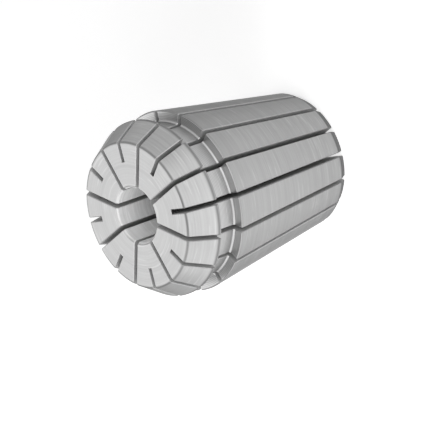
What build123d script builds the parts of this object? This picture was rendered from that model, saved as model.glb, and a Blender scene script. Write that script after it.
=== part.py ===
"""Spring collet with two tapers, for an 8 degree chuck seat, slit from both ends.

Millimetres and degrees. The collet stands on its rear face. The origin is the
centre of that face, and +Z runs along the bore to the front face.
"""
from build123d import *
from math import radians, sqrt, tan
import os

# Rear body, which seats in the chuck
overall_length = 40.0
body_diameter = 33.0          # largest, at the shoulder behind the groove
body_half_angle = 8.0
rear_chamfer_length = 1.4     # along the axis
rear_chamfer_depth = 0.8      # off the radius

# Nose, which the clamping nut presses and pulls, from the front face back
cone_length = 4.85
nose_half_angle = 30.0
ridge_land = 0.6              # cylinder between the cone and the groove
ridge_drop = 0.5              # off the radius, from the shoulder down to the ridge
groove_depth = 1.5            # off the radius, from the ridge down to the floor
groove_width = 4.35

# Bore
bore_diameter = 10.0
bore_chamfer = 0.4

# Slots, sawn from the front face and from the rear face in turn
slots_per_end = 8
slot_width = 0.8
front_notch = 3.5             # what a rear cut still takes off the rim of the front face
rear_notch = 2.0              # what a front cut still takes off the rim of the rear face
saw_diameter = 40.0
saw_overcut = 0.5             # how far the saw runs past the surfaces it cuts through

# Edges
edge_break = 0.2              # turned edges
slot_edge_break = 0.12        # where a slot leaves the surface
groove_corner = 0.25          # in the corners of the groove

# Derived
bore_radius = bore_diameter / 2
body_radius = body_diameter / 2
ridge_radius = body_radius - ridge_drop
groove_radius = ridge_radius - groove_depth
face_radius = ridge_radius - cone_length * tan(radians(nose_half_angle))
ridge_front_z = overall_length - cone_length
ridge_rear_z = ridge_front_z - ridge_land
shoulder_z = ridge_rear_z - groove_width
body_slope = tan(radians(body_half_angle))
rear_edge_radius = body_radius - (shoulder_z - rear_chamfer_length) * body_slope
rear_face_radius = rear_edge_radius - rear_chamfer_depth


def corners(section, *points):
    """The section's corners at the given points."""
    return [section.vertices().sort_by_distance(Vector(*point))[0] for point in points]


def turned_blank():
    """The collet before it is slit: one section turned about the bore."""
    shoulder = (body_radius, shoulder_z)
    groove_rear = (groove_radius, shoulder_z)
    groove_front = (groove_radius, ridge_rear_z)
    ridge_rear = (ridge_radius, ridge_rear_z)
    face_edge = (face_radius, overall_length)
    bore_front = (bore_radius, overall_length)
    bore_rear = (bore_radius, 0)
    outline = Polyline(
        bore_rear,
        (rear_face_radius, 0),
        (rear_edge_radius, rear_chamfer_length),
        shoulder,
        groove_rear,
        groove_front,
        ridge_rear,
        (ridge_radius, ridge_front_z),
        face_edge,
        bore_front,
        close=True,
    )
    section = make_face(outline)
    section = chamfer(corners(section, groove_rear, groove_front), groove_corner)
    section = chamfer(corners(section, shoulder, ridge_rear, face_edge), edge_break)
    section = chamfer(corners(section, bore_front, bore_rear), bore_chamfer)
    return revolve(Plane.XZ * section, Axis.Z)


def saw_cut(closed_radius):
    """What one cut from the front face takes away, on the +X side.

    The saw feeds down from the front face with its edge inside the bore, and
    stops where that round edge leaves the rear face at closed_radius.
    """
    outside = body_radius + saw_overcut
    above = overall_length + saw_overcut
    below = -saw_overcut
    saw_radius = saw_diameter / 2
    floor_radius = bore_radius - saw_overcut
    centre_radius = floor_radius + saw_radius
    stop_z = sqrt(saw_radius**2 - (centre_radius - closed_radius) ** 2)

    def on_saw_edge(height):
        return centre_radius - sqrt(saw_radius**2 - (stop_z - height) ** 2), height

    straight_sides = Polyline(
        on_saw_edge(below),
        (outside, below),
        (outside, above),
        (floor_radius, above),
        (floor_radius, stop_z),
    )
    round_end = ThreePointArc((floor_radius, stop_z), on_saw_edge(stop_z / 2), on_saw_edge(below))
    side = make_face(straight_sides + round_end)
    return extrude(Plane.XZ * side, slot_width / 2, both=True)


def collet():
    """The blank, slit from the front and between those cuts from the rear, then deburred."""
    blank = turned_blank()
    front_cut = saw_cut(rear_face_radius - rear_notch)
    rear_cut = mirror(saw_cut(face_radius - front_notch), about=Plane.XY.offset(overall_length / 2))
    half_step = 180 / slots_per_end
    front_cuts = PolarLocations(0, slots_per_end) * front_cut
    rear_cuts = PolarLocations(0, slots_per_end, half_step) * rear_cut
    slit = blank - front_cuts - rear_cuts
    slot_edges = new_edges(blank, *front_cuts, *rear_cuts, combined=slit)
    return chamfer(slot_edges, slot_edge_break)


os.makedirs("parts", exist_ok=True)
export_step(collet(), "parts/collet.step")
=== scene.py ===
import bpy
from collections import namedtuple
from math import cos, pi, radians, sin, tan
from mathutils import Matrix, Vector

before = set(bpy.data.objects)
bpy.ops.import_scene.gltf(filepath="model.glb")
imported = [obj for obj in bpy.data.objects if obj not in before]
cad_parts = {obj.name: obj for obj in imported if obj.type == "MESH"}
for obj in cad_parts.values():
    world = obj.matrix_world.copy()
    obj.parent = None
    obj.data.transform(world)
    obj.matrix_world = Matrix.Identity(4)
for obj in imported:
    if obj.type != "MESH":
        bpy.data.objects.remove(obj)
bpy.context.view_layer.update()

MM = 0.001

Softbox = namedtuple("Softbox", "name azimuth elevation watts")
Finish = namedtuple("Finish", "tone metal roughness")
Marks = namedtuple("Marks", "spacing detail depth")
Ring = namedtuple("Ring", "radius z")
Place = namedtuple("Place", "point x y z radius")
Zones = namedtuple("Zones", "wall bore groove chamfer turned")

VIEW_CENTRE = Vector((-3.9, -2.4, 23.2)) * MM
VIEW_AZIMUTH = 31.85
VIEW_ELEVATION = 39.47
VIEW_ROLL = -109.89
VIEW_DISTANCE = 572.7 * MM
LENS = 269.8
SENSOR = 36.0
CLIP_START = 10 * MM

# Light: a pale floor that glows more on one side near the object, a painted pool of light that the steel
# mirrors, an even white surround and four softboxes, with angles in degrees
FLOOR_RADIUS = 2.4
FLOOR_SIDES = 96
FLOOR_COLOUR = 0.8
FLOOR_GLOW = (0.36, 0.85)       # near the object, on its dim side and on its bright side
FLOOR_BRIGHT_AZIMUTH = 325.0
FLOOR_BLEND = 40 * MM           # from the axis to where either side is fully dim or bright
FLOOR_FAR_GLOW = 0.78
FLOOR_FADE = (0.1, 0.4)         # where the glow near the object turns into the far one
WORLD_LIGHT = 0.31
STUDIO_CENTRE = Vector((0, 0, 20)) * MM
SOFTBOX_DISTANCE = 0.6
SOFTBOX_SIZE = 0.7
SOFTBOXES = (
    Softbox("key", 0, 30, 1.15),
    Softbox("side", 300, 30, 1.3),
    Softbox("back", 210, 30, 1.3),
    Softbox("fill", 60, 40, 1.1),
)

# Steel: the turned section, in millimetres from the bore's axis and the rear face
LENGTH = 40.0
BODY_RADIUS = 16.5
BODY_SLOPE = tan(radians(8.0))
REAR_CHAMFER_LENGTH = 1.4
REAR_CHAMFER_DEPTH = 0.8
CONE_LENGTH = 4.85
CONE_SLOPE = tan(radians(30.0))
RIDGE_RADIUS = 16.0
RIDGE_LAND = 0.6
GROOVE_RADIUS = 14.5
GROOVE_WIDTH = 4.35
BORE_RADIUS = 5.0
BORE_CHAMFER = 0.4
SAW_RADIUS = 20.0
SAW_OVERCUT = 0.5

FACE_RIM = Ring(RIDGE_RADIUS - CONE_LENGTH * CONE_SLOPE, LENGTH)
RIDGE_FRONT_RIM = Ring(RIDGE_RADIUS, LENGTH - CONE_LENGTH)
RIDGE_REAR_RIM = Ring(RIDGE_RADIUS, RIDGE_FRONT_RIM.z - RIDGE_LAND)
GROOVE_FRONT_CORNER = Ring(GROOVE_RADIUS, RIDGE_REAR_RIM.z)
SHOULDER = Ring(BODY_RADIUS, RIDGE_REAR_RIM.z - GROOVE_WIDTH)
BODY_LENGTH = SHOULDER.z - REAR_CHAMFER_LENGTH
BODY_REAR_RIM = Ring(BODY_RADIUS - BODY_LENGTH * BODY_SLOPE, REAR_CHAMFER_LENGTH)
REAR_FACE_RIM = Ring(BODY_REAR_RIM.radius - REAR_CHAMFER_DEPTH, 0.0)
RIMS = (REAR_FACE_RIM, BODY_REAR_RIM, SHOULDER, RIDGE_REAR_RIM, RIDGE_FRONT_RIM, FACE_RIM)

# Steel: the finish of the outside, the bore and the slots' walls, and painted light and shade on its tone
GROUND = Finish(0.36, 0.9, 0.38)
# The bore's honed roughness is its own; its light matte tone is painted light inside the bore.
HONED_AND_PAINTED_LIGHT = Finish(0.84, 0.0, 0.55)
SAWN = Finish(0.5, 0.4, 0.55)
GRAZING_SHINE = 0.35            # the share that steel mirrors at a grazing angle
# The groove's floor and the shoulder's face are drawn lighter: partly their turned finish, partly a
# painted highlight where they face the light.
GROOVE_FINISH_AND_PAINTED_LIGHT = 1.2
SHOULDER_MARGIN = 0.1           # the groove's lighter tone, partly painted light, takes in the face of the shoulder
# The rear chamfer is drawn darker: painted shade for how it turns away from the light.
CHAMFER_PAINTED_SHADE = 0.7
# Dark lines along the section's rims are painted shade, which also takes the shine off their edges.
RIM_PAINTED_SHADE = 0.5
RIM_WIDTH = 0.45
# The groove's floor is darker next to the ridge: painted shade where the ridge shades the corner.
CORNER_PAINTED_SHADE = 0.75
CORNER_WIDTH = 1.6

# Steel: marks, with their spacing in millimetres and their depth as a share of the tone
FINE = Marks(0.3, 4.0, 0.18)
BROAD = Marks(1.2, 3.0, 0.06)
CLOUD = Marks(6.0, 3.0, 0.05)
LINE_STRETCH = 0.01             # how fast a mark changes round the axis, as a share of across it
FEED_PITCH = 0.3
SAW_SPACING = 0.35
SAW_DETAIL = 2.0
SCUFF_SPACING = 0.3
SCUFF_STRETCH = 0.07
SCUFF_SHARE = (0.64, 0.76)      # noise values where a scuff sets in and where it is full
SCUFF_DEPTH = 0.15
SLOT_WALL_FACING = (0.8, 0.95)  # how squarely a slot's wall faces round the axis
EDGE_BLEND = 0.05
ROUGHNESS_SPREAD = 0.16
BUMP_DEPTH = 0.005 * MM


def direction(azimuth, elevation):
    """The way from the object to a camera or lamp at that azimuth and elevation."""
    around = radians(azimuth)
    above = radians(elevation)
    return Vector((sin(around) * cos(above), -cos(around) * cos(above), sin(above)))


def grey(value):
    return (value, value, value, 1.0)


def aim(piece, place, towards, roll=0.0):
    """Puts a camera or lamp at a place, looking towards a point."""
    turn = (place - towards).to_track_quat("Z", "Y").to_matrix().to_4x4()
    piece.matrix_world = Matrix.Translation(place) @ turn @ Matrix.Rotation(radians(roll), 4, "Z")


def add_camera():
    lens = bpy.data.cameras.new("camera")
    lens.lens = LENS
    lens.sensor_width = SENSOR
    lens.clip_start = CLIP_START
    camera = bpy.data.objects.new("camera", lens)
    bpy.context.scene.collection.objects.link(camera)
    place = VIEW_CENTRE + direction(VIEW_AZIMUTH, VIEW_ELEVATION) * VIEW_DISTANCE
    aim(camera, place, VIEW_CENTRE, VIEW_ROLL)
    bpy.context.scene.camera = camera


def add_softbox(softbox):
    light = bpy.data.lights.new(softbox.name, "AREA")
    light.shape = "DISK"
    light.size = SOFTBOX_SIZE
    light.energy = softbox.watts
    lamp = bpy.data.objects.new(softbox.name, light)
    bpy.context.scene.collection.objects.link(lamp)
    place = STUDIO_CENTRE + direction(softbox.azimuth, softbox.elevation) * SOFTBOX_DISTANCE
    aim(lamp, place, STUDIO_CENTRE)


class Nodes:
    """Adds nodes to a node tree, with values and links given by input name."""

    def __init__(self, tree):
        self.tree = tree
        tree.nodes.clear()

    def add(self, kind, settings=None, **inputs):
        node = self.tree.nodes.new(kind)
        for name, value in (settings or {}).items():
            setattr(node, name, value)
        for name, value in inputs.items():
            socket = self.socket(node, name)
            if isinstance(value, bpy.types.NodeSocket):
                self.tree.links.new(value, socket)
            else:
                socket.default_value = value
        return node

    @staticmethod
    def socket(node, name):
        if name[0] == "_":
            return node.inputs[int(name[1:])]
        return node.inputs[name.replace("_", " ")]

    def math(self, operation, first, second=0.0, third=0.0):
        settings = {"operation": operation}
        return self.add("ShaderNodeMath", settings, _0=first, _1=second, _2=third).outputs[0]

    def mix(self, share, first, second):
        """The first value where share is 0 and the second where it is 1."""
        return self.add("ShaderNodeMix", None, _0=share, _2=first, _3=second).outputs[0]

    def step(self, value, low, high):
        """0 at low and beyond, 1 at high and beyond, and smooth between."""
        settings = {"interpolation_type": "SMOOTHSTEP"}
        return self.add("ShaderNodeMapRange", settings, _0=value, _1=low, _2=high).outputs[0]

    def vector(self, x, y, z):
        return self.add("ShaderNodeCombineXYZ", None, _0=x, _1=y, _2=z).outputs[0]

    def parts(self, vector):
        return self.add("ShaderNodeSeparateXYZ", None, _0=vector).outputs

    def scale(self, vector, factor):
        return self.add("ShaderNodeVectorMath", {"operation": "SCALE"}, _0=vector, Scale=factor).outputs[0]

    def unit(self, vector):
        return self.add("ShaderNodeVectorMath", {"operation": "NORMALIZE"}, _0=vector).outputs[0]

    def length(self, vector):
        return self.add("ShaderNodeVectorMath", {"operation": "LENGTH"}, _0=vector).outputs["Value"]

    def dot(self, first, second):
        settings = {"operation": "DOT_PRODUCT"}
        return self.add("ShaderNodeVectorMath", settings, _0=first, _1=second).outputs["Value"]

    def noise(self, vector, scale, detail, w=0.0):
        settings = {"noise_dimensions": "4D"}
        inputs = {"Vector": vector, "W": w, "Scale": scale, "Detail": detail}
        return self.add("ShaderNodeTexNoise", settings, **inputs).outputs[0]


def seen_directly(nodes):
    """1 for a ray from the camera or off a mirror or through glass, else 0."""
    ray = nodes.add("ShaderNodeLightPath").outputs
    mirror_or_glass = nodes.math("MAXIMUM", ray["Is Glossy Ray"], ray["Is Transmission Ray"])
    return nodes.math("MAXIMUM", ray["Is Camera Ray"], mirror_or_glass)


def add_world():
    world = bpy.data.worlds.new("studio")
    world.use_nodes = True
    bpy.context.scene.world = world
    nodes = Nodes(world.node_tree)
    direct = seen_directly(nodes)
    strength = nodes.math("ADD", WORLD_LIGHT, nodes.math("MULTIPLY", direct, 1.0 - WORLD_LIGHT))
    background = nodes.add("ShaderNodeBackground", Color=grey(1.0), Strength=strength)
    nodes.add("ShaderNodeOutputWorld", Surface=background.outputs[0])


def floor_material():
    material = bpy.data.materials.new("pale_floor")
    material.use_nodes = True
    nodes = Nodes(material.node_tree)
    matte = nodes.add("ShaderNodeBsdfDiffuse", Color=grey(FLOOR_COLOUR))
    place = nodes.add("ShaderNodeTexCoord").outputs["Object"]
    # Near the object the floor glows more on one side: a painted pool of light that the steel mirrors.
    towards_bright_side = nodes.dot(place, direction(FLOOR_BRIGHT_AZIMUTH, 0.0))
    bright_side = nodes.step(towards_bright_side, -FLOOR_BLEND, FLOOR_BLEND)
    far = nodes.step(nodes.length(place), *FLOOR_FADE)
    glow = nodes.mix(far, nodes.mix(bright_side, *FLOOR_GLOW), FLOOR_FAR_GLOW)
    glow_seen = nodes.math("MULTIPLY", seen_directly(nodes), glow)
    light = nodes.add("ShaderNodeEmission", Color=grey(1.0), Strength=glow_seen)
    both = nodes.add("ShaderNodeAddShader", _0=matte.outputs[0], _1=light.outputs[0])
    nodes.add("ShaderNodeOutputMaterial", Surface=both.outputs[0])
    return material


def add_floor():
    bpy.ops.mesh.primitive_circle_add(vertices=FLOOR_SIDES, radius=FLOOR_RADIUS, fill_type="NGON")
    floor = bpy.context.object
    floor.name = "floor"
    floor.data.materials.append(floor_material())


def find_place(nodes):
    """Where a point of the surface lies, in millimetres from the bore's axis and the rear face."""
    point = nodes.scale(nodes.add("ShaderNodeTexCoord").outputs["Object"], 1 / MM)
    x, y, z = nodes.parts(point)
    return Place(point, x, y, z, nodes.length(nodes.vector(x, y, 0.0)))


def ring_lines(nodes, place, spacing, detail, stretch=LINE_STRETCH):
    """Noise drawn out round the axis: the marks of a wheel on a turning surface."""
    across = nodes.vector(
        nodes.math("MULTIPLY", place.x, stretch),
        nodes.math("MULTIPLY", place.y, stretch),
        place.z,
    )
    return nodes.noise(across, 1 / spacing, detail, place.radius)


def feed_lines(nodes, place):
    """The regular rings that a lathe tool leaves."""
    across = nodes.math("ADD", place.z, place.radius)
    wave = nodes.math("SINE", nodes.math("MULTIPLY", across, 2 * pi / FEED_PITCH))
    return nodes.math("MULTIPLY_ADD", wave, 0.5, 0.5)


def saw_arcs(nodes, place):
    """Arcs of the slitting saw's edge, one behind the other along its feed."""
    centre_radius = BORE_RADIUS - SAW_OVERCUT + SAW_RADIUS
    offset = nodes.math("SUBTRACT", place.radius, centre_radius)
    height = nodes.math("SQRT", nodes.math("SUBTRACT", SAW_RADIUS**2, nodes.math("POWER", offset, 2.0)))
    fed = nodes.math("ADD", place.z, height)
    return nodes.noise(nodes.vector(fed, 0.0, 0.0), 1 / SAW_SPACING, SAW_DETAIL)


def scuffs(nodes, place):
    """1 on a few short bright strokes round the axis, where the collet turned in its seat."""
    strokes = ring_lines(nodes, place, SCUFF_SPACING, 0.0, SCUFF_STRETCH)
    return nodes.step(strokes, *SCUFF_SHARE)


def on_slot_walls(nodes, place):
    """1 on the walls of the slots, which face round the axis, and 0 on what was turned."""
    normal = nodes.add("ShaderNodeTexCoord").outputs["Normal"]
    round_axis = nodes.unit(nodes.vector(nodes.math("MULTIPLY", place.y, -1.0), place.x, 0.0))
    facing = nodes.math("ABSOLUTE", nodes.dot(normal, round_axis))
    return nodes.step(facing, *SLOT_WALL_FACING)


def near(nodes, place, rings, width):
    """1 on the given rings of the section, falling to 0 at width from them."""
    nearest = width
    for ring in rings:
        across = nodes.math("SUBTRACT", place.radius, ring.radius)
        along = nodes.math("SUBTRACT", place.z, ring.z)
        nearest = nodes.math("MINIMUM", nearest, nodes.length(nodes.vector(across, along, 0.0)))
    return nodes.step(nearest, width, 0.0)


def between(nodes, value, low, high, blend=EDGE_BLEND):
    """1 between two values and 0 outside them."""
    above = nodes.step(value, low - blend, low + blend)
    below = nodes.step(value, high + blend, high - blend)
    return nodes.math("MULTIPLY", above, below)


def find_zones(nodes, place):
    """1 on the slots' walls, in the bore, in the groove, on the rear chamfer, and on those last two."""
    wall = on_slot_walls(nodes, place)
    bore = nodes.step(place.radius, BORE_RADIUS + BORE_CHAMFER, BORE_RADIUS)
    away_from_bore = nodes.step(place.radius, BORE_RADIUS + BORE_CHAMFER, REAR_FACE_RIM.radius)
    outside = nodes.math("MULTIPLY", away_from_bore, nodes.math("SUBTRACT", 1.0, wall))
    groove_heights = between(nodes, place.z, SHOULDER.z - SHOULDER_MARGIN, GROOVE_FRONT_CORNER.z)
    groove = nodes.math("MULTIPLY", outside, groove_heights)
    chamfer_heights = between(nodes, place.z, REAR_FACE_RIM.z, BODY_REAR_RIM.z)
    chamfer = nodes.math("MULTIPLY", outside, chamfer_heights)
    return Zones(wall, bore, groove, chamfer, nodes.math("MAXIMUM", groove, chamfer))


def tool_marks(nodes, place, zones):
    """The fine marks that the wheel, the lathe tool and the saw left, each on its own zone."""
    ground = ring_lines(nodes, place, FINE.spacing, FINE.detail)
    round_axis = nodes.mix(zones.turned, ground, feed_lines(nodes, place))
    return nodes.mix(zones.wall, round_axis, saw_arcs(nodes, place))


def shaded(nodes, place, zones, tone, marks, cloud):
    """The steel's tone, with its marks and scuffs, and with painted light and shade in lighter and darker
    zones.
    """
    broad = ring_lines(nodes, place, BROAD.spacing, BROAD.detail)
    for pattern, depth in ((marks, FINE.depth), (broad, BROAD.depth), (cloud, CLOUD.depth)):
        tone = nodes.math("MULTIPLY", tone, nodes.mix(pattern, 1 - depth, 1 + depth))
    shades = (
        # partly turned finish, partly painted highlight on the groove and the shoulder's face
        (zones.groove, GROOVE_FINISH_AND_PAINTED_LIGHT),
        (zones.chamfer, CHAMFER_PAINTED_SHADE),
        # painted shade on the rear chamfer
        (near(nodes, place, RIMS, RIM_WIDTH), RIM_PAINTED_SHADE),
        # painted shade along the rims
        (near(nodes, place, (GROOVE_FRONT_CORNER,), CORNER_WIDTH), CORNER_PAINTED_SHADE),
        # painted shade in the groove's corner behind the ridge
        (scuffs(nodes, place), 1 + SCUFF_DEPTH),
    )
    for share, shade in shades:
        tone = nodes.math("MULTIPLY", tone, nodes.mix(share, 1.0, shade))
    return tone


def steel_material():
    material = bpy.data.materials.new("ground_steel")
    material.use_nodes = True
    nodes = Nodes(material.node_tree)
    place = find_place(nodes)
    zones = find_zones(nodes, place)
    marks = tool_marks(nodes, place, zones)
    cloud = nodes.noise(place.point, 1 / CLOUD.spacing, CLOUD.detail)

    # The bore takes a lighter matte tone, which is painted light inside the bore.
    tone, metal, roughness = (
        nodes.mix(zones.wall, nodes.mix(zones.bore, ground, honed_and_painted_light), sawn)
        for ground, honed_and_painted_light, sawn in zip(GROUND, HONED_AND_PAINTED_LIGHT, SAWN)
    )
    tone = shaded(nodes, place, zones, tone, marks, cloud)
    spread = nodes.mix(nodes.mix(0.5, marks, cloud), -ROUGHNESS_SPREAD / 2, ROUGHNESS_SPREAD / 2)
    bump = nodes.add("ShaderNodeBump", Strength=1.0, Distance=BUMP_DEPTH, Height=marks)
    surface = nodes.add(
        "ShaderNodeBsdfPrincipled",
        Base_Color=nodes.vector(tone, tone, tone),
        Metallic=metal,
        Specular_Tint=grey(GRAZING_SHINE),
        Roughness=nodes.math("ADD", roughness, spread),
        Normal=bump.outputs[0],
    )
    nodes.add("ShaderNodeOutputMaterial", Surface=surface.outputs[0])
    return material


def dress_collet():
    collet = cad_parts["collet"]
    collet.data.materials[0] = steel_material()


bpy.context.scene.view_settings.view_transform = "Standard"
add_camera()
add_world()
add_floor()
for box in SOFTBOXES:
    add_softbox(box)
dress_collet()
